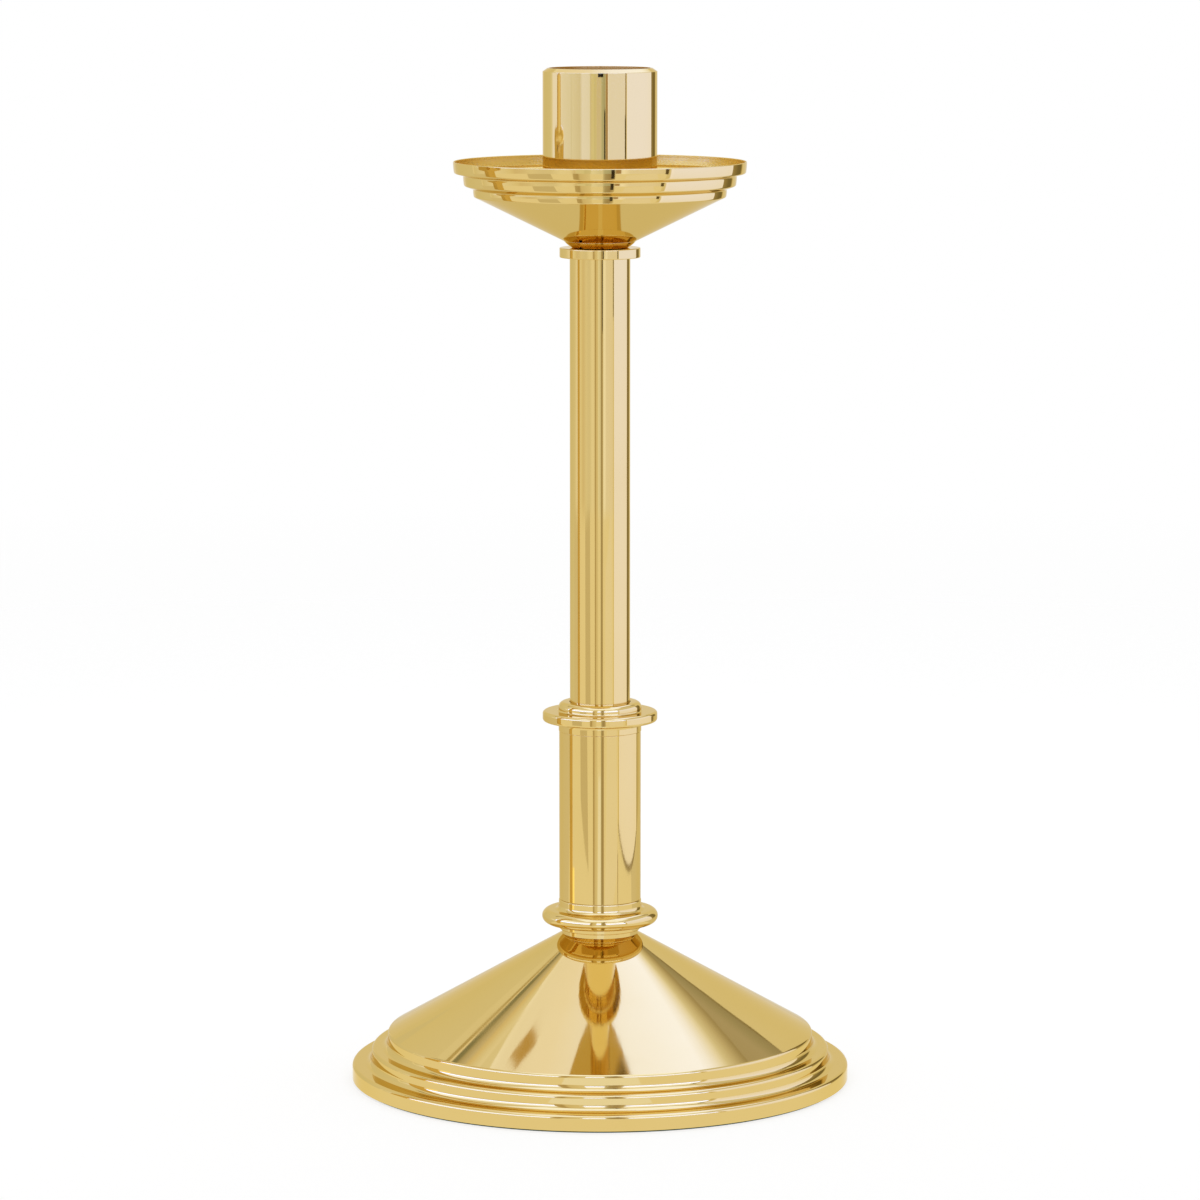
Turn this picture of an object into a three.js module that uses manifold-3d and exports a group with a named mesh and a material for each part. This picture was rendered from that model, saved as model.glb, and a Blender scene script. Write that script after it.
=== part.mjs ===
import * as THREE from 'three';
import { mergeVertices } from 'three/addons/utils/BufferGeometryUtils.js';
import Module from 'manifold-3d';

// Paschal candlestick in polished brass. Sizes are in millimetres and +Z is up.
// The origin is the centre of the felt's underside, on the stand's axis.

// Felt and board that close the base
const feltThickness = 1.2;
const feltInset = 2;
const boardThickness = 3;

// Spun base: three steps and a cone, all of one sheet thickness
const baseRadius = 158.8;
const baseSheet = 1.2;
const lowerStepHeight = 9.8;
const middleStepHeight = 9.9;
const upperStepHeight = 9.7;
const lowerLedge = 12.5;
const upperLedge = 10.4;
const stepEdge = 1.6;
const stepCove = 2.6;
const coneRise = 63.6;
const coneTopRadius = 24.4;
const pilotHoleRadius = 12;

// Cast weight inside the base
const weightSideGap = 6.7;
const weightFootWidth = 14;
const weightWall = 9;
const weightHubTopRadius = 20;
const weightHubRadius = 22;
const weightHubLength = 24;

// Lower knop, from its neck up to the ring that carries the sleeve
const neckHeight = 2.1;
const lowerRingRadius = 26;
const lowerRingHeight = 5.8;
const lowerRingEdge = 1;
const beadRadius = 37;
const beadHeight = 7.7;
const upperRingProud = 0.3;
const upperRingHeight = 6.6;
const upperRingEdge = 0.9;
const knopFloor = 8;

// Lower sleeve
const sleeveRadius = 26;
const sleeveWall = 2;
const sleeveLength = 108.5;
const registerHeight = 8;

// Middle collar
const skirtProud = 0.3;
const skirtHeight = 6.3;
const skirtCove = 2.6;
const flangeRadius = 36.5;
const flangeHeight = 6.6;
const flangeEdge = 1.8;
const collarRingRadius = 26.4;
const collarRingHeight = 5.9;
const collarRingEdge = 1.8;
const collarBoreRadius = 15;

// Stem tube
const stemRadius = 19.1;
const stemWall = 1.65;
const stemVisibleLength = 282.4;
const stemSeatDepth = 3;

// Cap collar, which closes the stem and takes the spigot of the top
const capRadius = 25.5;
const capHeight = 6.2;
const capEdge = 0.6;
const capFloor = 6;

// Tie rod with its nuts and washers
const rodRadius = 4.76;
const rodProud = 4;
const nutWidth = 14.3;
const nutHeight = 8.3;
const washerRadius = 10.3;
const washerThickness = 1.7;
const lockWasherRadius = 8.6;
const lockWasherThickness = 2.4;
const lockWasherSplit = 1.5;

// Spigot under the drip pan
const spigotRadius = 12.7;
const spigotLength = 42;
const spigotLead = 1.5;
const spigotEndGap = 4;
const shoulderRadius = 17.5;
const shoulderHeight = 4.1;
const shoulderBow = 0.5;

// Spun drip pan: a flat floor, a cone and three stepped bands, all of one sheet thickness
const panFloorRadius = 22.7;
const panSheet = 1;
const panConeSlope = 0.4915;
const panLowerRadius = 79.3;
const panEdge = 0.5;
// Each band has its height, its lean outwards, and the width and rise of the ledge above it.
const panBands = [
  { height: 4.8, lean: 0.4, ledge: 5.7, rise: 2.2 },
  { height: 6.5, lean: 0.6, ledge: 5.7, rise: 1.4 },
  { height: 7.2, lean: 0.6, ledge: 0, rise: 0 },
];

// Candle cup, bored for a candle of two and a half inches, with its spacer and screw
const cupBoreRadius = 31.75;
const cupWall = 4.25;
const cupHeight = 100.4;
const cupFloor = 6;
const cupChamferWidth = 3.1;
const cupChamferHeight = 2.1;
const spacerInset = 2.7;
const screwHeadRadius = 9;
const screwLength = 32;
const screwSlotWidth = 1.8;
const screwSlotDepth = 1.8;
const screwHoleSpare = 4;

// Clearances and how finely round shapes are cut
const fitGap = 0.3;
const broadSides = 60;
const slimSides = 36;
const boltSides = 24;
const arcSteps = 2;
const beadSteps = 6;

// Sizes that follow from the ones above
const middleStepRadius = baseRadius - lowerLedge;
const upperStepRadius = middleStepRadius - upperLedge;
const stepsHeight = lowerStepHeight + middleStepHeight + upperStepHeight;
const coneSlope = coneRise / (upperStepRadius - coneTopRadius);
const shellHeight = stepsHeight + coneRise;
const weightHeight = shellHeight - baseSheet - boardThickness;
const weightRadius = upperStepRadius - baseSheet - weightSideGap;
const rodHoleRadius = rodRadius + fitGap;
const sleeveBoreRadius = sleeveRadius - sleeveWall;
const registerRadius = sleeveBoreRadius - fitGap;
const upperRingRadius = sleeveRadius + upperRingProud;
const skirtRadius = sleeveRadius + skirtProud;
const knopHeight = neckHeight + lowerRingHeight + beadHeight + upperRingHeight;
const collarHeight = skirtHeight + flangeHeight + collarRingHeight;
const stemLength = stemVisibleLength + stemSeatDepth;
const capBoreRadius = spigotRadius + fitGap;
const capPlugRadius = stemRadius - stemWall - fitGap;
const capBoreDepth = spigotLength + spigotEndGap + rodProud + nutHeight + washerThickness;
const capPlugLength = capBoreDepth + capFloor - capHeight;
const cupRadius = cupBoreRadius + cupWall;
const spacerRadius = panFloorRadius - spacerInset;
const panConeLength = Math.hypot(1, panConeSlope);
const panConeTopAtCup = (cupRadius - panFloorRadius) * panConeSlope + panSheet * panConeLength;
const spacerHeight = panConeTopAtCup + fitGap * panConeLength - panSheet;

// Heights of the seats, from the floor up
const boardSeat = feltThickness;
const weightSeat = boardSeat + boardThickness;
const knopSeat = boardSeat + shellHeight;
const hubUnderside = weightSeat + weightHeight - weightHubLength;
const sleeveSeat = knopSeat + knopHeight;
const collarSeat = sleeveSeat + sleeveLength;
const stemSeat = collarSeat + collarHeight - stemSeatDepth;
const capSeat = stemSeat + stemLength;
const capFloorTop = capSeat - capPlugLength + capFloor;
const topSeat = capSeat + capHeight;
const baseNutTop = hubUnderside - washerThickness - lockWasherThickness;
const rodFoot = baseNutTop - nutHeight - rodProud;
const rodTip = capFloorTop + washerThickness + nutHeight + rodProud;

const wasm = await Module();
wasm.setup();

// Material of one piece.
function finish(color, roughness, metalness) {
  return new THREE.MeshStandardMaterial({ color, roughness, metalness });
}

function polishedBrass() {
  return finish('#d9b96f', 0.12, 1);
}

function turnedBrass() {
  return finish('#c9a455', 0.35, 1);
}

function zincSteel() {
  return finish('#b9bcc0', 0.4, 1);
}

// A named piece made from a geometry whose own zero is its seat.
function piece(name, geometry, material, seat) {
  const mesh = new THREE.Mesh(geometry, material);
  mesh.name = name;
  mesh.position.z = seat;
  return mesh;
}

// Direction from one corner to another, as a unit vector.
function direction(from, to) {
  return new THREE.Vector2(to[0] - from[0], to[1] - from[1]).normalize();
}

// Points of an outline with its corners rounded. A corner is radius, height and rounding.
function rounded(corners) {
  return corners.flatMap(([radius, height, rounding = 0], index) => {
    const corner = new THREE.Vector2(radius, height);
    if (rounding === 0) {
      return [corner];
    }
    const back = direction(corners[index], corners[index - 1]);
    const ahead = direction(corners[index], corners[index + 1]);
    const half = Math.acos(back.dot(ahead)) / 2;
    const middle = back.clone().add(ahead).normalize();
    const centre = corner.clone().addScaledVector(middle, rounding / Math.sin(half));
    const first = corner.clone().addScaledVector(back, rounding / Math.tan(half)).sub(centre);
    const turn = Math.sign(ahead.cross(back)) * (Math.PI - 2 * half);
    return Array.from({ length: arcSteps + 1 }, (_, step) => (
      first.clone().rotateAround(new THREE.Vector2(), (turn * step) / arcSteps).add(centre)
    ));
  });
}

// The outline moved to the left of its run. A rounding keeps its centre, and one that
// shrinks below the distance becomes a sharp corner.
function moved(corners, distance) {
  const runs = corners.slice(1).map((corner, index) => direction(corners[index], corner));
  return corners.map(([radius, height, rounding = 0], index) => {
    const into = runs[Math.max(index - 1, 0)];
    const out = runs[Math.min(index, runs.length - 1)];
    const normals = [into, out].map((run) => new THREE.Vector2(-run.y, run.x));
    const mean = normals[0].clone().add(normals[1]).normalize();
    const reach = distance / mean.dot(normals[0]);
    const kept = rounding - Math.sign(into.cross(out)) * distance;
    const newRounding = rounding > 0 && kept > distance ? kept : 0;
    return [radius + mean.x * reach, height + mean.y * reach, newRounding];
  });
}

// A closed outline of a sheet whose outer face runs along the corners.
function sheetOutline(corners, thickness) {
  const outer = rounded(corners);
  const inner = rounded(moved(corners, thickness)).reverse();
  return closed([...outer, ...inner]);
}

function closed(points) {
  return [...points, points[0].clone()];
}

// A solid of revolution about Z. Its outline runs up the outside and down the inside.
function turned(points, sides) {
  return new THREE.LatheGeometry(points, sides).rotateX(Math.PI / 2);
}

// A flat-ended ring or tube.
function ring(innerRadius, outerRadius, height, sides) {
  const corners = [[innerRadius, 0], [outerRadius, 0], [outerRadius, height], [innerRadius, height]];
  return turned(closed(rounded(corners)), sides);
}

// A flat disc or plain rod.
function disc(radius, height, sides) {
  return turned(rounded([[0, 0], [radius, 0], [radius, height], [0, height]]), sides);
}

// The half-round edge of the bead, as plain corners.
function beadEdge(foot) {
  const rounding = beadHeight / 2;
  return Array.from({ length: beadSteps + 1 }, (_, step) => {
    const angle = (Math.PI * step) / beadSteps - Math.PI / 2;
    const radius = beadRadius - rounding + rounding * Math.cos(angle);
    return [radius, foot + rounding + rounding * Math.sin(angle)];
  });
}

// A closed solid for joining and cutting, from a geometry.
function solid(geometry) {
  const bare = geometry.clone();
  bare.deleteAttribute('normal');
  bare.deleteAttribute('uv');
  const merged = mergeVertices(bare);
  return new wasm.Manifold(new wasm.Mesh({
    numProp: 3,
    vertProperties: new Float32Array(merged.attributes.position.array),
    triVerts: new Uint32Array(merged.index.array),
  }));
}

// A geometry from a closed solid.
function geometryOf(manifold) {
  const mesh = manifold.getMesh();
  const geometry = new THREE.BufferGeometry();
  geometry.setAttribute('position', new THREE.BufferAttribute(mesh.vertProperties, 3));
  geometry.setIndex(new THREE.BufferAttribute(mesh.triVerts, 1));
  geometry.computeVertexNormals();
  return geometry;
}

function feltPad() {
  const radius = baseRadius - feltInset;
  return piece('felt_pad', disc(radius, feltThickness, broadSides), finish('#1f4a33', 0.95, 0), 0);
}

function baseBoard() {
  const radius = baseRadius - baseSheet - fitGap;
  const board = disc(radius, boardThickness, broadSides);
  return piece('base_board', board, finish('#6b4a30', 0.8, 0), boardSeat);
}

function baseShell() {
  const middleTop = lowerStepHeight + middleStepHeight;
  const corners = [
    [baseRadius, 0],
    [baseRadius, lowerStepHeight, stepEdge],
    [middleStepRadius, lowerStepHeight, stepCove],
    [middleStepRadius, middleTop, stepEdge],
    [upperStepRadius, middleTop, stepCove],
    [upperStepRadius, stepsHeight, stepEdge],
    [coneTopRadius, shellHeight],
    [pilotHoleRadius, shellHeight],
  ];
  const shell = turned(sheetOutline(corners, baseSheet), broadSides);
  return piece('base_shell', shell, polishedBrass(), boardSeat);
}

// A cast bell that follows the inside of the cone and hangs the nut under its hub.
function baseWeight() {
  const coneHeight = (radius) => weightHeight - (radius - weightHubTopRadius) * coneSlope;
  const footInner = weightRadius - weightFootWidth;
  const hubFoot = weightHeight - weightHubLength;
  const corners = [
    [footInner, 0],
    [weightRadius, 0],
    [weightRadius, coneHeight(weightRadius)],
    [weightHubTopRadius, weightHeight],
    [rodHoleRadius, weightHeight],
    [rodHoleRadius, hubFoot],
    [weightHubRadius, hubFoot],
    [weightHubRadius, coneHeight(weightHubRadius) - weightWall],
    [footInner, coneHeight(footInner) - weightWall],
  ];
  const casting = turned(closed(rounded(corners)), slimSides);
  return piece('base_weight', casting, finish('#4b4a48', 0.7, 0.6), weightSeat);
}

// A neck, two rings and a half-round bead turned from one bar, recessed from above.
function lowerKnop() {
  const pilotDepth = baseSheet - fitGap;
  const pilotRadius = pilotHoleRadius - fitGap;
  const beadFoot = neckHeight + lowerRingHeight;
  const corners = [
    [rodHoleRadius, -pilotDepth],
    [pilotRadius, -pilotDepth],
    [pilotRadius, 0],
    [coneTopRadius, 0],
    [coneTopRadius, neckHeight],
    [lowerRingRadius, neckHeight, lowerRingEdge],
    [lowerRingRadius, beadFoot],
    ...beadEdge(beadFoot),
    [upperRingRadius, beadFoot + beadHeight],
    [upperRingRadius, knopHeight, upperRingEdge],
    [registerRadius, knopHeight],
    [registerRadius, knopHeight + registerHeight],
    [collarBoreRadius, knopHeight + registerHeight],
    [collarBoreRadius, knopFloor],
    [rodHoleRadius, knopFloor],
  ];
  return piece('lower_knop', turned(closed(rounded(corners)), slimSides), polishedBrass(), knopSeat);
}

function lowerSleeve() {
  const tube = ring(sleeveBoreRadius, sleeveRadius, sleeveLength, slimSides);
  return piece('lower_sleeve', tube, polishedBrass(), sleeveSeat);
}

// A register for the sleeve below, a coved flange, and a ring bored to seat the stem.
function middleCollar() {
  const flangeTop = skirtHeight + flangeHeight;
  const stemPocketRadius = stemRadius + fitGap;
  const pocketFloor = collarHeight - stemSeatDepth;
  const corners = [
    [collarBoreRadius, -registerHeight],
    [registerRadius, -registerHeight],
    [registerRadius, 0],
    [skirtRadius, 0],
    [skirtRadius, skirtHeight, skirtCove],
    [flangeRadius, skirtHeight, flangeEdge],
    [flangeRadius, flangeTop, flangeEdge],
    [collarRingRadius, flangeTop],
    [collarRingRadius, collarHeight, collarRingEdge],
    [stemPocketRadius, collarHeight],
    [stemPocketRadius, pocketFloor],
    [collarBoreRadius, pocketFloor],
  ];
  const collar = turned(closed(rounded(corners)), slimSides);
  return piece('middle_collar', collar, polishedBrass(), collarSeat);
}

function stemTube() {
  const tube = ring(stemRadius - stemWall, stemRadius, stemLength, slimSides);
  return piece('stem_tube', tube, polishedBrass(), stemSeat);
}

// A head on the stem's top edge, and a long blind socket inside the stem.
function capCollar() {
  const floorTop = capFloor - capPlugLength;
  const corners = [
    [rodHoleRadius, -capPlugLength],
    [capPlugRadius, -capPlugLength],
    [capPlugRadius, 0],
    [capRadius, 0, capEdge],
    [capRadius, capHeight, capEdge],
    [capBoreRadius, capHeight],
    [capBoreRadius, floorTop],
    [rodHoleRadius, floorTop],
  ];
  return piece('cap_collar', turned(closed(rounded(corners)), slimSides), polishedBrass(), capSeat);
}

function tieRod() {
  return piece('tie_rod', disc(rodRadius, rodTip - rodFoot, boltSides), zincSteel(), rodFoot);
}

function flatWasher(name, seat) {
  const washer = ring(rodHoleRadius, washerRadius, washerThickness, boltSides);
  return piece(name, washer, zincSteel(), seat);
}

// A split spring washer, open by a narrow gap.
function lockWasher(name, seat) {
  const outline = new THREE.Shape();
  const outerTurn = lockWasherSplit / 2 / lockWasherRadius;
  const innerTurn = lockWasherSplit / 2 / rodHoleRadius;
  outline.absarc(0, 0, lockWasherRadius, outerTurn, 2 * Math.PI - outerTurn, false);
  outline.absarc(0, 0, rodHoleRadius, 2 * Math.PI - innerTurn, innerTurn, true);
  outline.closePath();
  const settings = { depth: lockWasherThickness, bevelEnabled: false, curveSegments: boltSides / 2 };
  return piece(name, new THREE.ExtrudeGeometry(outline, settings), zincSteel(), seat);
}

function hexNut(name, seat) {
  const cornerRadius = nutWidth / Math.sqrt(3);
  const corners = Array.from({ length: 6 }, (_, side) => (
    new THREE.Vector2(cornerRadius, 0).rotateAround(new THREE.Vector2(), (side * Math.PI) / 3)
  ));
  const outline = new THREE.Shape(corners);
  outline.holes.push(new THREE.Path().absarc(0, 0, rodHoleRadius, 0, 2 * Math.PI, true));
  const settings = { depth: nutHeight, bevelEnabled: false, curveSegments: boltSides / 2 };
  return piece(name, new THREE.ExtrudeGeometry(outline, settings), zincSteel(), seat);
}

// The spigot stands in the cap collar's socket, and its shoulder carries the drip pan.
function topSpigot() {
  const bowRadius = (shoulderRadius + panFloorRadius) / 2 + shoulderBow;
  const boltDepth = screwLength - cupFloor - spacerHeight - panSheet + screwHoleSpare;
  const corners = [
    [0, -spigotLength],
    [spigotRadius - spigotLead, -spigotLength],
    [spigotRadius, spigotLead - spigotLength],
    [spigotRadius, 0],
    [shoulderRadius, 0],
    [bowRadius, shoulderHeight / 2],
    [panFloorRadius, shoulderHeight],
    [rodHoleRadius, shoulderHeight],
    [rodHoleRadius, shoulderHeight - boltDepth],
    [0, shoulderHeight - boltDepth],
  ];
  return piece('top_spigot', turned(rounded(corners), slimSides), polishedBrass(), 0);
}

// The underside's outline: floor, cone, then each band with the sloping ledge above it.
function dripPanCorners() {
  const coneHeight = (panLowerRadius - panFloorRadius) * panConeSlope;
  const corners = [[rodHoleRadius, 0], [panFloorRadius, 0]];
  let radius = panLowerRadius;
  let height = coneHeight;
  for (const band of panBands) {
    corners.push([radius, height, panEdge]);
    radius += band.lean;
    height += band.height;
    corners.push([radius, height]);
    radius += band.ledge;
    height += band.rise;
  }
  return corners;
}

function dripPan(seat) {
  const pan = turned(sheetOutline(dripPanCorners(), panSheet), broadSides);
  return piece('drip_pan', pan, polishedBrass(), seat);
}

function cupSpacer(seat) {
  const spacer = ring(rodHoleRadius, spacerRadius, spacerHeight, slimSides);
  return piece('cup_spacer', spacer, turnedBrass(), seat);
}

// A bored cup with a chamfered mouth, and a countersunk hole through its floor.
function candleCup(seat) {
  const sinkRadius = screwHeadRadius + fitGap * Math.SQRT2;
  const sinkDepth = sinkRadius - rodHoleRadius;
  const corners = [
    [rodHoleRadius, 0],
    [cupRadius, 0],
    [cupRadius, cupHeight - cupChamferHeight],
    [cupRadius - cupChamferWidth, cupHeight],
    [cupBoreRadius, cupHeight],
    [cupBoreRadius, cupFloor],
    [sinkRadius, cupFloor],
    [rodHoleRadius, cupFloor - sinkDepth],
  ];
  return piece('candle_cup', turned(closed(rounded(corners)), slimSides), polishedBrass(), seat);
}

// A countersunk screw, flush with the cup's floor, with a slot across its head.
function cupScrew(seat) {
  const corners = [
    [0, -screwLength],
    [rodRadius, -screwLength],
    [rodRadius, rodRadius - screwHeadRadius],
    [screwHeadRadius, 0],
    [0, 0],
  ];
  const blank = solid(turned(rounded(corners), boltSides));
  const slot = new THREE.BoxGeometry(screwHeadRadius * 4, screwSlotWidth, screwSlotDepth * 2);
  return piece('cup_screw', geometryOf(blank.subtract(solid(slot))), turnedBrass(), seat);
}

// The stand, with everything that stays together when the top is lifted off.
const stand = new THREE.Group();
stand.add(
  feltPad(),
  baseBoard(),
  baseShell(),
  baseWeight(),
  lowerKnop(),
  lowerSleeve(),
  middleCollar(),
  stemTube(),
  capCollar(),
  tieRod(),
  flatWasher('base_washer', hubUnderside - washerThickness),
  lockWasher('base_lock_washer', baseNutTop),
  hexNut('base_nut', baseNutTop - nutHeight),
  flatWasher('cap_washer', capFloorTop),
  hexNut('cap_nut', capFloorTop + washerThickness),
);

// The top, which lifts out of the stand as one unit. Its zero is the shoulder's seat.
const panSeat = shoulderHeight;
const spacerSeat = panSeat + panSheet;
const cupSeat = spacerSeat + spacerHeight;
const top = new THREE.Group();
top.position.z = topSeat;
top.add(
  topSpigot(),
  dripPan(panSeat),
  cupSpacer(spacerSeat),
  candleCup(cupSeat),
  cupScrew(cupSeat + cupFloor),
);

const candlestick = new THREE.Group();
candlestick.add(stand, top);

export default candlestick;
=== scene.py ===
import math
import bpy
import bmesh
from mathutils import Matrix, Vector


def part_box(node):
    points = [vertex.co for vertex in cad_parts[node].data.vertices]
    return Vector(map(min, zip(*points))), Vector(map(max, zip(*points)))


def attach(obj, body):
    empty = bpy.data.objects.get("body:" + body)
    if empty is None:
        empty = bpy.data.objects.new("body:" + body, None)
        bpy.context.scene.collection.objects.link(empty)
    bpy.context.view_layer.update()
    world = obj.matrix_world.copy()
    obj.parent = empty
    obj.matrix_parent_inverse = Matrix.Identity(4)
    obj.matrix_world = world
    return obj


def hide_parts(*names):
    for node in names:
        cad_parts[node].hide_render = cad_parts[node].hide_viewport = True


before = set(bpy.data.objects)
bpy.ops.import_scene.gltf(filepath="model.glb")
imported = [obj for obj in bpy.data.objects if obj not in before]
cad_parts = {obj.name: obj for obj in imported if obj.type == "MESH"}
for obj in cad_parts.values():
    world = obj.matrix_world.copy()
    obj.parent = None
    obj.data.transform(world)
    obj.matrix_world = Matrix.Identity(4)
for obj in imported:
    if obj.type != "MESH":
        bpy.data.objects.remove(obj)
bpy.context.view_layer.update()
print("frame loaded:", len(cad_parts), "nodes")

mm = 0.001  # sizes below are in millimetres, and meshes are in metres

# How turned outlines are drawn
drawing = {
    "edgeBreak": 0.15,  # easing of a corner that has no rounding of its own
    "support": 0.05,  # flat run kept beside each rounding, so that reflections stay straight
    "arcStep": 11.25,  # degrees between the points of a rounding
    "longestReach": 0.45,  # share of a run that one rounding may take
    "straightFrom": 89,  # half angle, in degrees, from which a corner counts as straight
    "leastBend": 0.001,  # below it, the inner face of a sheet keeps the corner's rounding
    "sharpAngle": 35,  # degrees between faces of a carved piece
    "registerEase": 0.5,
    "floorCove": 0.8,
    "threadSteps": 8,  # points down each turn of a thread
    "broadSides": 256,
    "slimSides": 144,
    "boltSides": 64,
}


# One output of a node. Sums of wires add Math nodes, and any other node comes from node().
class Wire:
    def __init__(self, tree, output=None):
        self.tree = tree
        self.output = output

    def node(self, kind, settings=None, values=None, output=0):
        made = self.tree.nodes.new(kind)
        for name, value in (settings or {}).items():
            if name == "stops":
                self.setStops(made.color_ramp, value)
            else:
                setattr(made, name, value)
        for name, value in (values or {}).items():
            self.feed(made.inputs[name], value)
        return Wire(self.tree, made.outputs[output] if made.outputs else None)

    def feed(self, socket, value):
        if isinstance(value, Wire):
            self.tree.links.new(value.output, socket)
        else:
            socket.default_value = value

    def setStops(self, ramp, stops):
        while len(ramp.elements) < len(stops):
            ramp.elements.new(1.0)
        while len(ramp.elements) > len(stops):
            ramp.elements.remove(ramp.elements[-1])
        for element, (place, colour) in zip(ramp.elements, stops):
            element.position = place
            element.color = (*colour, 1.0)

    def maths(self, operation, *terms):
        return self.node("ShaderNodeMath", {"operation": operation}, dict(enumerate(terms)))

    def mix(self, factor, first, second):
        settings = {"data_type": "RGBA"}
        return self.node("ShaderNodeMix", settings, {0: factor, 6: first, 7: second}, 2)

    def other(self, name):
        return Wire(self.tree, self.output.node.outputs[name])

    def __add__(self, term):
        return self.maths("ADD", self, term)

    def __sub__(self, term):
        return self.maths("SUBTRACT", self, term)

    def __rsub__(self, term):
        return self.maths("SUBTRACT", term, self)

    def __mul__(self, term):
        return self.maths("MULTIPLY", self, term)

    def __truediv__(self, term):
        return self.maths("DIVIDE", self, term)

    def __pow__(self, term):
        return self.maths("POWER", self, term)

    def __mod__(self, term):
        return self.maths("MODULO", self, term)

    def __lt__(self, term):
        return self.maths("LESS_THAN", self, term)

    def __gt__(self, term):
        return self.maths("GREATER_THAN", self, term)

    def __abs__(self):
        return self.maths("ABSOLUTE", self)

    __radd__ = __add__
    __rmul__ = __mul__


# Materials

def newMaterial(name):
    material = bpy.data.materials.new(name)
    material.use_nodes = True
    material.node_tree.nodes.clear()
    return material, Wire(material.node_tree)


# Ends a material in one Principled shader. Each value is a constant or a wire.
def shade(start, values):
    surface = start.node("ShaderNodeBsdfPrincipled", None, values)
    start.node("ShaderNodeOutputMaterial", None, {"Surface": surface})


def placeOn(start):
    return start.node("ShaderNodeTexCoord", None, None, "Object")


# Distance from the axis, and height, of a place on a turned piece
def aroundAxis(start, place):
    x = start.node("ShaderNodeSeparateXYZ", None, {"Vector": place})
    y = x.other("Y")
    return (x * x + y * y) ** 0.5, x.other("Z")


# Noise that runs in rings round the axis, as a lathe leaves it
def rings(start, radius, height, spacing, detail):
    pitch = spacing * mm
    across = start.node("ShaderNodeCombineXYZ", None, {"X": radius / pitch, "Y": height / pitch})
    return start.node("ShaderNodeTexNoise", None, {"Vector": across, "Scale": 1.0, "Detail": detail})


# Noise in patches of one size, which distortion draws out into fibres
def patches(start, place, size, detail, roughness=0.5, distortion=0.0):
    values = {"Vector": place, "Scale": 1 / (size * mm), "Detail": detail}
    values.update({"Roughness": roughness, "Distortion": distortion})
    return start.node("ShaderNodeTexNoise", None, values)


# 0 up to the lower value, 1 from the upper one on
def between(start, value, lower, upper):
    values = {"Value": value, "From Min": lower, "From Max": upper}
    return start.node("ShaderNodeMapRange", None, values)


# A relief whose height is given in millimetres
def bump(start, height):
    return start.node("ShaderNodeBump", None, {"Height": height, "Strength": 1.0, "Distance": mm})


polishedBrass = {
    "colour": (0.765, 0.575, 0.225, 1),
    "warmColour": (0.745, 0.545, 0.195, 1),
    "roughness": 0.035,
    "smudge": 0.05,  # how much duller a handled patch is
    "smudgeSize": 45,
    "smudgeRange": (0.5, 0.8),
    "lineSpacing": 0.4,
    "lineDepth": 0.00012,
    "lineRoughness": 0.01,
    "rippleSpacing": 7,
    "rippleDepth": 0.0012,
    "edgeTint": (0.9, 0.79, 0.5, 1),  # keeps the rims gold where mirrors turn white
    "lacquer": 0.08,
    "lacquerRoughness": 0.03,
    "insideShadeColour": (0.76, 0.52, 0.12, 1),  # painted shade and reflection: darker, warmer brass on the pan's and cup's insides, which also aren't buffed
    "insideRoughness": 0.32,
    "insideTurn": 0.1,  # how far a face must look towards the axis
    "insideFoot": 528.0,
    "boreShadeColour": (0.56, 0.3, 0.06, 1),  # painted shade of the cup's bore, which little light reaches
    "boreRadius": 33.0,
}

turnedBrass = {
    "colour": (0.76, 0.56, 0.21, 1),
    "darkColour": (0.55, 0.37, 0.11, 1),
    "roughness": 0.24,
    "stainSize": 12,
    "stainRange": (0.45, 0.75),
    "stainDepth": 0.6,
    "stainRoughness": 0.15,
    "lineSpacing": 0.25,
    "lineDepth": 0.0012,
    "lineRoughness": 0.08,
}


def makePolishedBrass(look):
    material, start = newMaterial("polishedBrass")
    place = placeOn(start)
    radius, height = aroundAxis(start, place)
    smudge = patches(start, place, look["smudgeSize"], detail=4.0)
    lines = rings(start, radius, height, look["lineSpacing"], detail=2.0)
    ripple = rings(start, radius, height, look["rippleSpacing"], detail=1.0)
    handled = between(start, smudge, *look["smudgeRange"])
    relief = lines * look["lineDepth"] + ripple * look["rippleDepth"]
    facing = start.node("ShaderNodeNewGeometry", None, None, "True Normal")
    outwards = start.node("ShaderNodeVectorMath", {"operation": "MULTIPLY"}, {0: place, 1: (1, 1, 0)})
    dot = {"operation": "DOT_PRODUCT"}
    away = start.node("ShaderNodeVectorMath", dot, {0: facing, 1: outwards}, "Value")
    inside = (away < -look["insideTurn"] * mm) * (height > look["insideFoot"] * mm)
    buffed = start.mix(smudge, look["colour"], look["warmColour"])
    # Painted shade and reflection: the insides take darker, warmer brass, and the cup's bore a deeper
    # painted shade
    paintedInsideShade = start.mix(radius < look["boreRadius"] * mm, look["insideShadeColour"], look["boreShadeColour"])
    dullness = look["roughness"] + handled * look["smudge"]
    shade(start, {
        "Base Color": start.mix(inside, buffed, paintedInsideShade),
        "Metallic": 1.0,
        "Roughness": dullness + lines * look["lineRoughness"] + inside * look["insideRoughness"],
        "Specular Tint": look["edgeTint"],
        "Coat Weight": look["lacquer"],
        "Coat Roughness": look["lacquerRoughness"],
        "Normal": bump(start, relief),
    })
    return material


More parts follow.
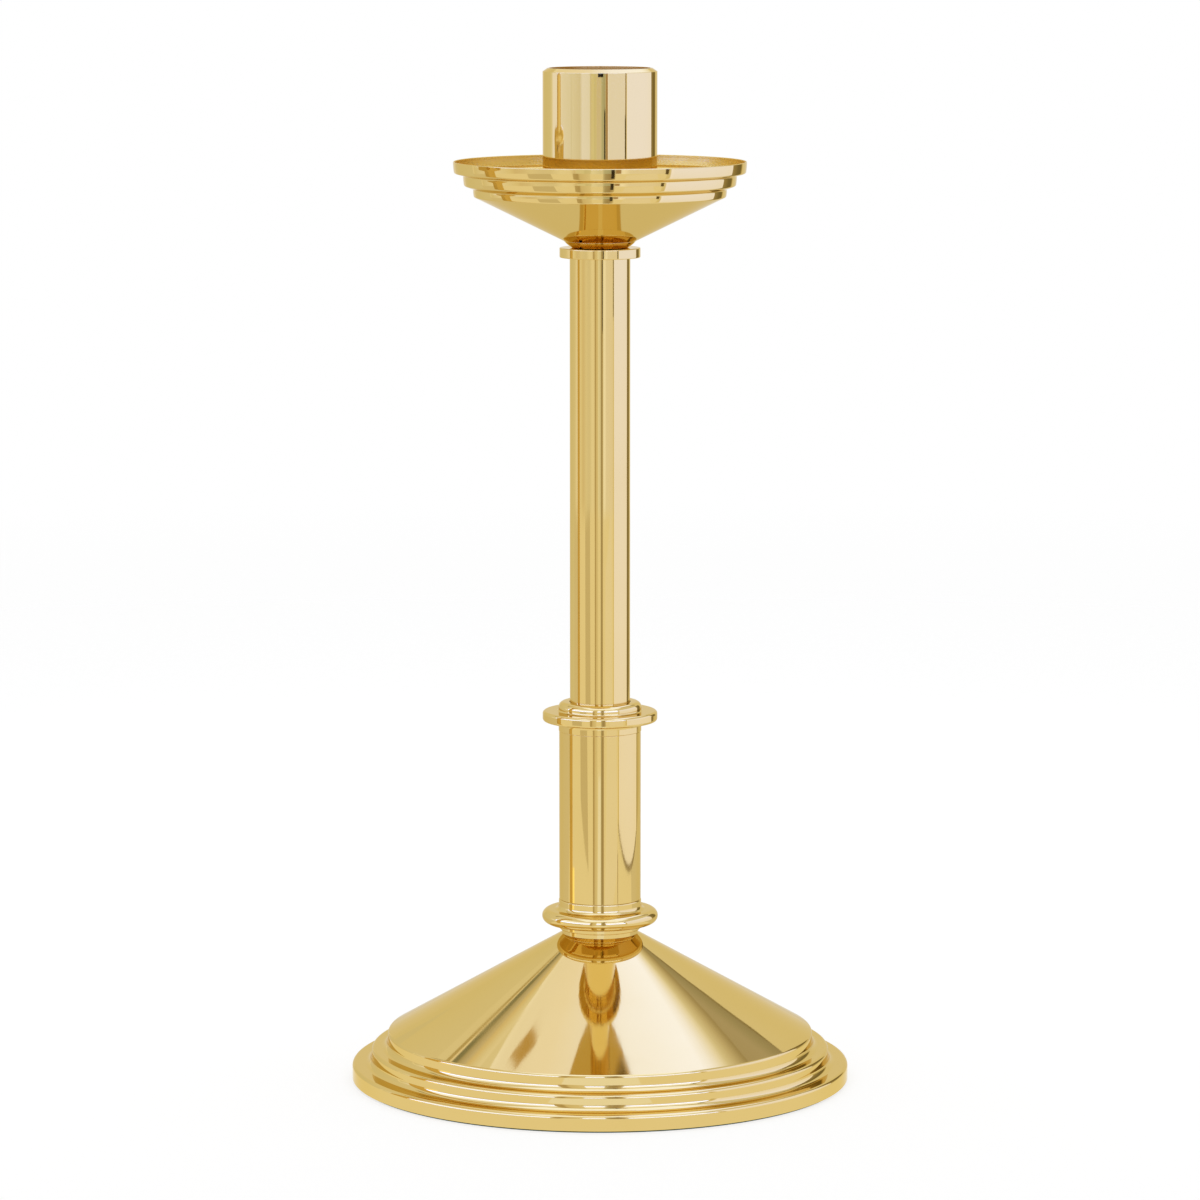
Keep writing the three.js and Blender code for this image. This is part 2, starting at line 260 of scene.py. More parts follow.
def makeTurnedBrass(look):
    material, start = newMaterial("turnedBrass")
    place = placeOn(start)
    radius, height = aroundAxis(start, place)
    lines = rings(start, radius, height, look["lineSpacing"], detail=3.0)
    stain = patches(start, place, look["stainSize"], detail=5.0)
    dull = between(start, stain, *look["stainRange"])
    shade(start, {
        "Base Color": start.mix(dull * look["stainDepth"], look["colour"], look["darkColour"]),
        "Metallic": 1.0,
        "Roughness": look["roughness"] + dull * look["stainRoughness"] + lines * look["lineRoughness"],
        "Normal": bump(start, lines * look["lineDepth"]),
    })
    return material


zincSteel = {
    "darkColour": (0.50, 0.53, 0.56, 1),
    "lightColour": (0.66, 0.67, 0.66, 1),
    "roughness": 0.26,
    "spangleSize": 2.2,
    "spangleDepth": 0.002,
    "spangleRoughness": 0.14,
    "cloudSize": 6,
    "cloudDepth": 0.004,
    "cloudRoughness": 0.1,
}


def makeZincSteel(look):
    material, start = newMaterial("zincSteel")
    place = placeOn(start)
    cells = {"Vector": place, "Scale": 1 / (look["spangleSize"] * mm), "Randomness": 1.0}
    spangle = start.node("ShaderNodeTexVoronoi", None, cells, "Distance")
    cloud = patches(start, place, look["cloudSize"], detail=5.0)
    dullness = look["roughness"] + spangle * look["spangleRoughness"]
    shade(start, {
        "Base Color": start.mix(cloud, look["darkColour"], look["lightColour"]),
        "Metallic": 1.0,
        "Roughness": dullness + cloud * look["cloudRoughness"],
        "Normal": bump(start, cloud * look["cloudDepth"] + spangle * look["spangleDepth"]),
    })
    return material


castIron = {
    "colour": (0.055, 0.053, 0.05, 1),
    "rustColour": (0.13, 0.06, 0.03, 1),
    "roughness": 0.5,
    "metallic": 0.85,
    "grainSize": 1.6,
    "grainDepth": 0.25,
    "grainRoughness": 0.25,
    "rustSize": 30,
    "rustRange": (0.56, 0.7),
    "rustDepth": 0.3,
    "rustRoughness": 0.2,
    "rustCover": 0.8,  # how much of the metal's shine rust takes away
}


def makeCastIron(look):
    material, start = newMaterial("castIron")
    place = placeOn(start)
    grain = patches(start, place, look["grainSize"], detail=6.0)
    rust = patches(start, place, look["rustSize"], detail=5.0)
    rusted = between(start, rust, *look["rustRange"])
    dullness = look["roughness"] + grain * look["grainRoughness"]
    shade(start, {
        "Base Color": start.mix(rusted, look["colour"], look["rustColour"]),
        "Metallic": look["metallic"] - rusted * look["rustCover"],
        "Roughness": dullness + rusted * look["rustRoughness"],
        "Normal": bump(start, grain * look["grainDepth"] + rust * look["rustDepth"]),
    })
    return material


hardboard = {
    "darkColour": (0.10, 0.052, 0.024, 1),
    "lightColour": (0.25, 0.14, 0.07, 1),
    "roughness": 0.62,
    "fibreSize": 1.1,
    "fibreShare": 0.7,  # of the colour that follows the fibres, the rest follows the clouds
    "fibreDepth": 0.06,
    "fibreRoughness": 0.25,
    "cloudSize": 25,
}


def makeHardboard(look):
    material, start = newMaterial("hardboard")
    place = placeOn(start)
    fibre = patches(start, place, look["fibreSize"], detail=8.0, roughness=0.65, distortion=1.4)
    cloud = patches(start, place, look["cloudSize"], detail=3.0)
    blend = fibre * look["fibreShare"] + cloud * (1 - look["fibreShare"])
    shade(start, {
        "Base Color": start.mix(blend, look["darkColour"], look["lightColour"]),
        "Roughness": look["roughness"] + fibre * look["fibreRoughness"],
        "Normal": bump(start, fibre * look["fibreDepth"]),
    })
    return material


greenFelt = {
    "darkColour": (0.004, 0.028, 0.014, 1),
    "lightColour": (0.028, 0.11, 0.055, 1),
    "roughness": 0.9,
    "sheen": 0.35,
    "sheenRoughness": 0.5,
    "sheenTint": (0.35, 0.7, 0.5, 1),
    "fibreSize": 0.5,
    "fibreShare": 0.65,  # of the colour that follows the fibres, the rest follows the pills
    "fibreDepth": 0.12,
    "pillSize": 3.5,
    "pillDepth": 0.15,
}


def makeGreenFelt(look):
    material, start = newMaterial("greenFelt")
    place = placeOn(start)
    fibre = patches(start, place, look["fibreSize"], detail=6.0, roughness=0.7, distortion=2.2)
    pills = patches(start, place, look["pillSize"], detail=4.0)
    blend = fibre * look["fibreShare"] + pills * (1 - look["fibreShare"])
    shade(start, {
        "Base Color": start.mix(blend, look["darkColour"], look["lightColour"]),
        "Roughness": look["roughness"],
        "Sheen Weight": look["sheen"],
        "Sheen Roughness": look["sheenRoughness"],
        "Sheen Tint": look["sheenTint"],
        "Normal": bump(start, fibre * look["fibreDepth"] + pills * look["pillDepth"]),
    })
    return material


materials = {
    "polished_brass": makePolishedBrass(polishedBrass),
    "turned_brass": makeTurnedBrass(turnedBrass),
    "zinc_steel": makeZincSteel(zincSteel),
    "cast_iron": makeCastIron(castIron),
    "hardboard": makeHardboard(hardboard),
    "green_felt": makeGreenFelt(greenFelt),
}
print("materials ready:", len(materials))


# Outlines. A corner is (radius, height) or (radius, height, rounding), and a rounding of 0
# keeps a point of a curve as it is. An outline runs up the outside and down the inside.

def easedCorner(before, corner, after):
    here = Vector(corner[:2])
    back = Vector(before[:2]) - here
    ahead = Vector(after[:2]) - here
    wanted = corner[2] if len(corner) > 2 else drawing["edgeBreak"]
    half = back.angle(ahead) / 2
    if wanted == 0 or half > math.radians(drawing["straightFrom"]):
        return [here]
    longest = drawing["longestReach"] * min(back.length, ahead.length)
    reach = min(wanted / math.tan(half), longest)
    rounding = reach * math.tan(half)
    middle = (back.normalized() + ahead.normalized()).normalized()
    centre = here + middle * rounding / math.sin(half)
    first = here + back.normalized() * reach - centre
    sweep = math.copysign(math.pi - 2 * half, ahead.cross(back))
    steps = max(2, math.ceil(abs(sweep) / math.radians(drawing["arcStep"])))
    points = []
    for step in range(steps + 1):
        angle = sweep * step / steps
        turned = Vector((
            first.x * math.cos(angle) - first.y * math.sin(angle),
            first.x * math.sin(angle) + first.y * math.cos(angle),
        ))
        points.append(centre + turned)
    support = drawing["support"]
    room = 4 * support  # a shorter run takes no support
    if back.length - reach > room:
        points.insert(0, here + back.normalized() * (reach + support))
    if ahead.length - reach > room:
        points.append(here + ahead.normalized() * (reach + support))
    return points


# A closed outline of a ring or tube, with every corner eased
def ringOutline(corners):
    points = []
    for index, corner in enumerate(corners):
        after = corners[(index + 1) % len(corners)]
        points += easedCorner(corners[index - 1], corner, after)
    return points + points[:1]


# An outline that starts and ends on the axis
def solidOutline(corners):
    points = [Vector(corners[0][:2])]
    for before, corner, after in zip(corners, corners[1:], corners[2:]):
        points += easedCorner(before, corner, after)
    return points + [Vector(corners[-1][:2])]


# The corners of a sheet's inner face, one thickness to the left of its outer face
def innerCorners(corners, thickness):
    runs = []
    for first, second in zip(corners, corners[1:]):
        runs.append((Vector(second[:2]) - Vector(first[:2])).normalized())
    inner = []
    for index, corner in enumerate(corners):
        into = runs[max(index - 1, 0)]
        out = runs[min(index, len(runs) - 1)]
        sides = [Vector((-run.y, run.x)) for run in (into, out)]
        mean = (sides[0] + sides[1]).normalized()
        place = Vector(corner[:2]) + mean * thickness / mean.dot(sides[0])
        rounding = corner[2] if len(corner) > 2 else drawing["edgeBreak"]
        bend = into.cross(out)
        if abs(bend) > drawing["leastBend"]:
            rounding -= math.copysign(thickness, bend)
        inner.append((place.x, place.y, max(rounding, drawing["edgeBreak"])))
    return inner


def sheetOutline(corners, thickness):
    return ringOutline(corners + innerCorners(corners, thickness)[::-1])


# Points of a curve from first to last that bows towards the point named by pull
def bowed(first, pull, last, steps):
    points = []
    for step in range(1, steps):
        share = step / steps
        place = Vector(first) * (1 - share) ** 2
        place += Vector(pull) * 2 * share * (1 - share)
        place += Vector(last) * share ** 2
        points.append((place.x, place.y, 0))
    return points


# Points of a round from one angle to another, in degrees, 0 being outwards and 90 up
def roundOf(centre, radius, start, end, steps):
    points = []
    for step in range(steps + 1):
        angle = math.radians(start + (end - start) * step / steps)
        points.append((centre[0] + radius * math.cos(angle), centre[1] + radius * math.sin(angle), 0))
    return points


# Foot, top and outer radius of a node of the frame
def span(node):
    low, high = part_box(node)
    return low.z / mm, high.z / mm, high.x / mm


# The tree that turns an outline round the axis and cuts threads in it

turning = {
    "rootFlat": 1.25,  # above 1 the groove of a thread is flat at its root
    "wallShare": 0.9,  # of the crest's radius, inside which the ends of a bar are left alone
    "mergeDistance": 0.001,
}


def makeTurningTree(look):
    tree = bpy.data.node_groups.new("turning", "GeometryNodeTree")
    sockets = {}
    wanted = [
        ("Outline", "NodeSocketGeometry", None),
        ("Sides", "NodeSocketInt", 64),
        ("Material", "NodeSocketMaterial", None),
        ("Thread pitch", "NodeSocketFloat", 1.0),
        ("Thread depth", "NodeSocketFloat", 0.0),
        ("Thread crest", "NodeSocketFloat", 0.0),
        ("Threaded below", "NodeSocketFloat", 0.0),
        ("Threaded above", "NodeSocketFloat", 10.0),
    ]
    for name, kind, value in wanted:
        made = tree.interface.new_socket(name, in_out="INPUT", socket_type=kind)
        if value is not None:
            made.default_value = value
        sockets[name] = made.identifier
    tree.interface.new_socket("Piece", in_out="OUTPUT", socket_type="NodeSocketGeometry")

    start = Wire(tree)
    given = start.node("NodeGroupInput")
    outline = given.other("Outline")
    sides = given.other("Sides")
    rows = start.node("GeometryNodeAttributeDomainSize", None, {"Geometry": outline}, "Point Count")
    grid = start.node("GeometryNodeMeshGrid", None, {"Vertices X": sides + 1, "Vertices Y": rows})
    index = start.node("GeometryNodeInputIndex")
    row = index % rows
    share = (index - row) / rows / sides
    sample = {"data_type": "FLOAT_VECTOR", "domain": "POINT"}
    spot = start.node("GeometryNodeInputPosition")
    chosen = {"Geometry": outline, "Value": spot, "Index": row}
    point = start.node("GeometryNodeSampleIndex", sample, chosen)
    radius = start.node("ShaderNodeSeparateXYZ", None, {"Vector": point})
    height = radius.other("Z")

    # A thread is a triangular groove, flat at its root, that climbs one pitch a turn. The 100
    # only keeps the sum above 0.
    climb = start.maths("FRACT", height / given.other("Thread pitch") - share + 100)
    groove = start.maths("MINIMUM", (1 - abs(climb * 2 - 1)) * look["rootFlat"], 1)
    below = height < given.other("Threaded below")
    zone = start.maths("MAXIMUM", below, height > given.other("Threaded above"))
    wall = radius > given.other("Thread crest") * look["wallShare"]
    cut = radius - groove * zone * wall * given.other("Thread depth")

    angle = share * math.tau
    place = start.node("ShaderNodeCombineXYZ", None, {
        "X": cut * start.maths("COSINE", angle),
        "Y": cut * start.maths("SINE", angle),
        "Z": height,
    })
    turned = start.node("GeometryNodeSetPosition", None, {"Geometry": grid, "Position": place})
    near = {"Geometry": turned, "Distance": look["mergeDistance"] * mm}
    joined = start.node("GeometryNodeMergeByDistance", None, near)
    smooth = start.node("GeometryNodeSetShadeSmooth", None, {"Geometry": joined})
    real = start.node("GeometryNodeRealizeInstances", None, {"Geometry": smooth})
    dressed = start.node("GeometryNodeSetMaterial", None, {
        "Geometry": real, "Material": given.other("Material"),
    })
    start.node("NodeGroupOutput", None, {"Piece": dressed})
    return tree, sockets


turningTree, turningSockets = makeTurningTree(turning)


# Puts a tree on an object, and keeps what it makes as a plain mesh
def applyTree(piece, tree, sockets, inputs):
    modifier = piece.modifiers.new("shape", "NODES")
    modifier.node_group = tree
    for name, value in inputs.items():
        modifier[sockets[name]] = value
    makePlain(piece)


def makePlain(piece):
    bpy.context.view_layer.update()
    shaped = piece.evaluated_get(bpy.context.evaluated_depsgraph_get())
    mesh = bpy.data.meshes.new_from_object(shaped)
    mesh.name = piece.name
    piece.modifiers.clear()
    piece.data = mesh


def newPiece(name, vertices, faces):
    mesh = bpy.data.meshes.new(name)
    mesh.from_pydata(vertices, [], faces)
    piece = bpy.data.objects.new(name, mesh)
    bpy.context.scene.collection.objects.link(piece)
    return piece


def turn(name, outline, sides, finish, thread=None):
    piece = newPiece(name, [(point.x * mm, 0, point.y * mm) for point in outline], [])
    inputs = {"Sides": sides, "Material": materials[finish]}
    applyTree(piece, turningTree, turningSockets, {**inputs, **(thread or {})})
    return piece


# Joins or cuts a piece with another one, which is then removed
def carve(piece, other, operation):
    cutter = piece.modifiers.new("carve", "BOOLEAN")
    cutter.operation = operation
    cutter.object = other
    makePlain(piece)
    bpy.data.objects.remove(other)
    piece.data.set_sharp_from_angle(angle=math.radians(drawing["sharpAngle"]))


# Fastens a finished piece to the body of the node that it stands for
def seat(piece, node, body):
    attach(piece, body)
    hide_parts(node)
    print("made", piece.name, "with", len(piece.data.polygons), "faces")


def threadOf(pitch, depth, crest, below, above=None):
    inputs = {
        "Thread pitch": pitch * mm,
        "Thread depth": depth * mm,
        "Thread crest": crest * mm,
        "Threaded below": below * mm,
    }
    if above is not None:
        inputs["Threaded above"] = above * mm
    return inputs


# Points down a threaded wall, close enough together to hold the grooves
def threadWall(radius, low, high, pitch):
    count = math.ceil((high - low) / pitch * drawing["threadSteps"])
    return [(radius, low + (high - low) * step / count, 0) for step in range(1, count)]


# Felt pad

feltPad = {
    "edge": 0.35,
}


def makeFeltPad(look):
    foot, top, radius = span("felt_pad")
    outline = solidOutline([
        (0, foot), (radius, foot, look["edge"]), (radius, top, look["edge"]), (0, top),
    ])
    pad = turn("felt_disc", outline, drawing["broadSides"], "green_felt")
    seat(pad, "felt_pad", "stand")


# Spun base

baseShell = {
    "sheet": 1.2,
    "stepHeights": [9.8, 9.9, 9.7],
    "ledges": [12.5, 10.4],
    "stepEdge": 2.2,
    "stepCove": 4.2,
    "coneTopRadius": 24.4,
    "pilotHoleRadius": 12.0,
}


def makeBaseShell(look):
    foot, top, radius = span("base_shell")
    corners = [(radius, foot)]
    height = foot
    for rise, ledge in zip(look["stepHeights"], look["ledges"] + [0]):
        height += rise
        corners.append((radius, height, look["stepEdge"]))
        if ledge:
            radius -= ledge
            corners.append((radius, height, look["stepCove"]))
    corners += [(look["coneTopRadius"], top), (look["pilotHoleRadius"], top)]
    outline = sheetOutline(corners, look["sheet"])
    shell = turn("spun_base", outline, drawing["broadSides"], "polished_brass")
    seat(shell, "base_shell", "stand")


# Lower knop

lowerKnop = {
    "neckHeight": 2.8,
    "lowerRingRadius": 26.0,
    "lowerRingHeight": 3.9,
    "lowerRingEdge": 1.0,
    "beadFootCove": 0.4,
    "beadHeight": 8.9,
    "beadCove": 2.8,
    "upperRingRadius": 26.3,
    "upperRingEdge": 0.9,
    "registerRadius": 23.7,
    "boreRadius": 15.0,
    "floor": 8.0,
    "floorCove": 1.0,
    "rodHoleRadius": 5.06,
    "pilotRadius": 11.7,
    "beadSteps": 20,
}


def makeLowerKnop(look):
    foot, registerTop, beadRadius = span("lower_knop")
    seatHeight = span("base_shell")[1]
    top = span("lower_sleeve")[0]
    neckTop = seatHeight + look["neckHeight"]
    beadFoot = neckTop + look["lowerRingHeight"]
    half = look["beadHeight"] / 2
    neckRadius = baseShell["coneTopRadius"]
    ease = drawing["registerEase"]
    bead = roundOf((beadRadius - half, beadFoot + half), half, -90, 90, look["beadSteps"])
    outline = ringOutline([
        (look["rodHoleRadius"], foot),
        (look["pilotRadius"], foot),
        (look["pilotRadius"], seatHeight),
        (neckRadius, seatHeight),
        (neckRadius, neckTop),
        (look["lowerRingRadius"], neckTop, look["lowerRingEdge"]),
        (look["lowerRingRadius"], beadFoot, look["beadFootCove"]),
        *bead,
        (look["upperRingRadius"], beadFoot + look["beadHeight"], look["beadCove"]),
        (look["upperRingRadius"], top, look["upperRingEdge"]),
        (look["registerRadius"], top),
        (look["registerRadius"], registerTop, ease),
        (look["boreRadius"], registerTop, ease),
        (look["boreRadius"], seatHeight + look["floor"], look["floorCove"]),
        (look["rodHoleRadius"], seatHeight + look["floor"]),
    ])
    knop = turn("knop", outline, drawing["slimSides"], "polished_brass")
    seat(knop, "lower_knop", "stand")


# Lower sleeve and stem, two plain tubes with eased ends

lowerSleeve = {
    "wall": 2.0,
    "endEase": 0.25,
}

stemTube = {
    "wall": 1.65,
    "endEase": 0.25,
}


def makeTube(name, node, look):
    foot, top, radius = span(node)
    bore = radius - look["wall"]
    ease = look["endEase"]
    outline = ringOutline([
        (radius, foot, ease), (radius, top, ease), (bore, top, ease), (bore, foot, ease),
    ])
    tube = turn(name, outline, drawing["slimSides"], "polished_brass")
    seat(tube, node, "stand")


# Middle collar

middleCollar = {
    "registerRadius": 23.7,
    "skirtRadius": 26.3,
    "skirtHeight": 6.3,
    "skirtEdge": 0.3,
    "skirtCove": 2.6,
    "flangeHeight": 6.6,
    "flangeEdge": 1.8,
    "ringRadius": 26.4,
    "ringEdge": 3.6,
    "ringCove": 1.0,
    "ringSteps": 8,
    "boreRadius": 15.0,
    "pocketRadius": 19.4,
    "pocketEdge": 0.3,
}


def makeMiddleCollar(look):
    foot, top, flangeRadius = span("middle_collar")
    seatHeight = span("lower_sleeve")[1]
    pocketFloor = span("stem_tube")[0]
    flangeFoot = seatHeight + look["skirtHeight"]
    flangeTop = flangeFoot + look["flangeHeight"]
    ease = drawing["registerEase"]
    edge = look["ringEdge"]
    ringTop = roundOf((look["ringRadius"] - edge, top - edge), edge, 0, 90, look["ringSteps"])
    outline = ringOutline([
        (look["boreRadius"], foot, ease),
        (look["registerRadius"], foot, ease),
        (look["registerRadius"], seatHeight),
        (look["skirtRadius"], seatHeight, look["skirtEdge"]),
        (look["skirtRadius"], flangeFoot, look["skirtCove"]),
        (flangeRadius, flangeFoot, look["flangeEdge"]),
        (flangeRadius, flangeTop, look["flangeEdge"]),
        (look["ringRadius"], flangeTop, look["ringCove"]),
        *ringTop,
        (look["pocketRadius"], top, look["pocketEdge"]),
        (look["pocketRadius"], pocketFloor),
        (look["boreRadius"], pocketFloor),
    ])
    collar = turn("collar", outline, drawing["slimSides"], "polished_brass")
    seat(collar, "middle_collar", "stand")


# Cap collar on the stem

capCollar = {
    "edge": 0.6,
    "plugRadius": 17.15,
    "socketRadius": 13.0,
    "floor": 6.0,
    "rodHoleRadius": 5.06,
    "socketLead": 0.6,
}


def makeCapCollar(look):
    foot, top, radius = span("cap_collar")
    seatHeight = span("stem_tube")[1]
    outline = ringOutline([
        (look["rodHoleRadius"], foot),
        (look["plugRadius"], foot, drawing["registerEase"]),
        (look["plugRadius"], seatHeight),
        (radius, seatHeight, look["edge"]),
        (radius, top, look["edge"]),
        (look["socketRadius"], top, look["socketLead"]),
        (look["socketRadius"], foot + look["floor"], drawing["floorCove"]),
        (look["rodHoleRadius"], foot + look["floor"]),
    ])
    cap = turn("stem_cap", outline, drawing["slimSides"], "polished_brass")
    seat(cap, "cap_collar", "stand")


# Tie rod, with the nut and washer at its upper end

tieRod = {
    "pitch": 1.59,
    "threadDepth": 0.85,
    "threadLength": 30.0,
    "endChamfer": 1.0,
}


def makeTieRod(look):
    foot, top, radius = span("tie_rod")
    lead = look["endChamfer"]
    low = foot + look["threadLength"]
    high = top - look["threadLength"]
    outline = solidOutline([
        (0, foot), (radius - lead, foot), (radius, foot + lead),
        *threadWall(radius, foot + lead, low + lead, look["pitch"]),
        *threadWall(radius, high - lead, top - lead, look["pitch"]),
        (radius, top - lead), (radius - lead, top), (0, top),
    ])
    thread = threadOf(look["pitch"], look["threadDepth"], radius, low, high)
    rod = turn("long_rod", outline, drawing["boltSides"], "zinc_steel", thread)
    seat(rod, "tie_rod", "stand")


capNut = {
    "bore": 4.9,
    "chamfer": 1.1,
    "chamferSlope": 0.55,
    "boreChamfer": 0.7,
    "ringProud": 0.1,  # of the turned ring over the bar's corners
    "barSpare": 1,  # how far the bar stands past the nut before it is cut
}


# A six-sided bar cut by a turned ring whose outer edges are chamfered
def makeCapNut(look):
    foot, top, cornerRadius = span("cap_nut")
    flat = cornerRadius * math.cos(math.pi / 6)
    drop = look["chamfer"] * look["chamferSlope"]
    outer = cornerRadius + look["ringProud"]
    bore = look["bore"]
    mouth = bore + look["boreChamfer"]
    nut = turn("end_nut", ringOutline([
        (mouth, foot), (flat, foot), (outer, foot + drop),
        (outer, top - drop), (flat, top), (mouth, top),
        (bore, top - look["boreChamfer"]), (bore, foot + look["boreChamfer"]),
    ]), drawing["boltSides"], "zinc_steel")
    rows = []
    for height in (foot - look["barSpare"], top + look["barSpare"]):
        for side in range(6):
            angle = math.tau * side / 6
            x, y = cornerRadius * math.cos(angle), cornerRadius * math.sin(angle)
            rows.append((x * mm, y * mm, height * mm))
    faces = [tuple(range(5, -1, -1)), tuple(range(6, 12))]
    faces += [(side, (side + 1) % 6, (side + 1) % 6 + 6, side + 6) for side in range(6)]
    bar = newPiece("bar", rows, faces)
    carve(nut, bar, "INTERSECT")
    seat(nut, "cap_nut", "stand")


capWasher = {
    "boreRadius": 5.06,
    "edge": 0.3,
}


def makeCapWasher(look):
    foot, top, radius = span("cap_washer")
    bore = look["boreRadius"]
    edge = look["edge"]
    outline = ringOutline([(radius, foot), (radius, top, edge), (bore, top, edge), (bore, foot)])
    washer = turn("end_washer", outline, drawing["boltSides"], "zinc_steel")
    seat(washer, "cap_washer", "stand")


# Spigot of the top

topSpigot = {
    "radius": 12.7,
    "lead": 1.5,
    "shoulderRadius": 17.5,
    "bow": 1.0,
    "bowSteps": 10,
    "holeRadius": 5.06,
    "holeDepth": 20.0,
    "drillPoint": 0.5,  # slope of the hole's bottom
}


def makeTopSpigot(look):
    foot, top, panFloorRadius = span("top_spigot")
    seatHeight = span("cap_collar")[1]
    below = (look["shoulderRadius"], seatHeight)
    above = (panFloorRadius, top)
    pull = ((below[0] + above[0]) / 2 + look["bow"], (seatHeight + top) / 2)
    outline = solidOutline([
        (0, foot), (look["radius"] - look["lead"], foot), (look["radius"], foot + look["lead"]),
        (look["radius"], seatHeight), below,
        *bowed(below, pull, above, look["bowSteps"]),
        above, (look["holeRadius"], top), (look["holeRadius"], top - look["holeDepth"]),
        (0, top - look["holeDepth"] - look["holeRadius"] * look["drillPoint"]),
    ])
    spigot = turn("spigot", outline, drawing["slimSides"], "polished_brass")
    seat(spigot, "top_spigot", "top_unit")


# Spun drip pan

dripPan = {
    "sheet": 1.0,
    "holeRadius": 5.06,
    "floorRadius": 22.7,
    "coneSlope": 0.4915,
    "lowerRadius": 79.3,
    "edge": 1.4,
    "crease": 0.9,
    "bulge": 0.16,  # how far each band bows out halfway up
    "bands": [  # height, lean outwards, and the width and rise of the ledge above
        (4.8, 0.4, 5.7, 2.2), (6.5, 0.6, 5.7, 1.4), (7.2, 0.6, 0, 0),
    ],
}


def makeDripPan(look):
    foot = span("drip_pan")[0]
    radius = look["lowerRadius"]
    height = foot + (radius - look["floorRadius"]) * look["coneSlope"]
    corners = [(look["holeRadius"], foot), (look["floorRadius"], foot)]
    for rise, lean, ledge, ledgeRise in look["bands"]:
        corners.append((radius, height, look["edge"]))
        for share in (0.25, 0.5, 0.75):
            bow = look["bulge"] * 4 * share * (1 - share)
            corners.append((radius + lean * share + bow, height + rise * share, 0))
        radius += lean
        height += rise
        corners.append((radius, height, look["crease"]))
        radius += ledge
        height += ledgeRise
    outline = sheetOutline(corners, look["sheet"])
    pan = turn("spun_pan", outline, drawing["broadSides"], "polished_brass")
    seat(pan, "drip_pan", "top_unit")


# Candle cup and its screw

candleCup = {
    "boreRadius": 31.75,
    "floor": 6.0,
    "chamferWidth": 3.1,
    "chamferHeight": 2.1,
    "footEdge": 0.3,
    "lipEdge": 0.2,
    "holeRadius": 5.06,
    "sinkRadius": 9.42,
}


def makeCandleCup(look):
    foot, top, radius = span("candle_cup")
    floorTop = foot + look["floor"]
    lip = look["lipEdge"]
    outline = ringOutline([
        (look["holeRadius"], foot),
        (radius, foot, look["footEdge"]),
        (radius, top - look["chamferHeight"], lip),
        (radius - look["chamferWidth"], top, lip),
        (look["boreRadius"], top, lip),
        (look["boreRadius"], floorTop, drawing["floorCove"]),
        (look["sinkRadius"], floorTop),
        (look["holeRadius"], floorTop - look["sinkRadius"] + look["holeRadius"]),
    ])
    cup = turn("candle_socket", outline, drawing["slimSides"], "polished_brass")
    seat(cup, "candle_cup", "top_unit")


cupScrew = {
    "shankRadius": 4.76,
    "pitch": 1.59,
    "threadDepth": 0.85,
    "endChamfer": 0.8,
    "plainNeck": 2.0,  # length without thread under the head
    "headEdge": 0.2,
    "slotWidth": 1.8,
    "slotDepth": 1.8,
}


def makeCupScrew(look):
    foot, top, headRadius = span("cup_screw")
    shank = look["shankRadius"]
    neck = top - headRadius + shank
    lead = look["endChamfer"]
    plain = look["plainNeck"]
    outline = solidOutline([
        (0, foot), (shank - lead, foot), (shank, foot + lead),
        *threadWall(shank, foot + lead, neck - plain / 2, look["pitch"]),
        (shank, neck), (headRadius, top, look["headEdge"]), (0, top),
    ])
    thread = threadOf(look["pitch"], look["threadDepth"], shank, neck - plain)
    screw = turn("cup_bolt", outline, drawing["boltSides"], "turned_brass", thread)
    slot = bmesh.new()
    bmesh.ops.create_cube(slot, size=1)
    size = (4 * headRadius * mm, look["slotWidth"] * mm, 2 * look["slotDepth"] * mm)
    bmesh.ops.scale(slot, vec=size, verts=slot.verts)
    bmesh.ops.translate(slot, vec=(0, 0, top * mm), verts=slot.verts)
    cutter = newPiece("slot", [], [])
    slot.to_mesh(cutter.data)
    slot.free()
    carve(screw, cutter, "DIFFERENCE")
    seat(screw, "cup_screw", "top_unit")


makeFeltPad(feltPad)
makeBaseShell(baseShell)
makeLowerKnop(lowerKnop)
makeTube("sleeve", "lower_sleeve", lowerSleeve)
makeMiddleCollar(middleCollar)
makeTube("stem", "stem_tube", stemTube)
makeCapCollar(capCollar)
makeTieRod(tieRod)
makeCapNut(capNut)
makeCapWasher(capWasher)
makeTopSpigot(topSpigot)
makeDripPan(dripPan)
makeCandleCup(candleCup)
makeCupScrew(cupScrew)

# The pieces inside keep their own meshes and take a finish
insideFinish = {
    "base_board": "hardboard",
    "base_weight": "cast_iron",
    "base_washer": "zinc_steel",
    "base_lock_washer": "zinc_steel",
    "base_nut": "zinc_steel",
    "cup_spacer": "turned_brass",
}
for node, finish in insideFinish.items():
    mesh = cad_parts[node].data
    mesh.materials.clear()
    mesh.materials.append(materials[finish])
print("pieces done")


# Studio. Azimuths are in degrees from the camera's side, positive to its right.

floorLook = {
    "radius": 4.0,
    "sides": 96,
    "fadeFrom": 1.6,
    "fadeTo": 3.2,
    "colour": (0.93, 0.93, 0.93, 1),
    "whiteShare": 0.72,  # how much of the floor's look is plain white, the rest takes the shadow
}


# 1 for rays that show the background: seen directly, mirrored or through glass
def backgroundRays(start):
    path = start.node("ShaderNodeLightPath")
    seen = path.other("Is Camera Ray") + path.other("Is Glossy Ray") + path.other("Is Transmission Ray")
    return start.maths("MINIMUM", seen, 1)


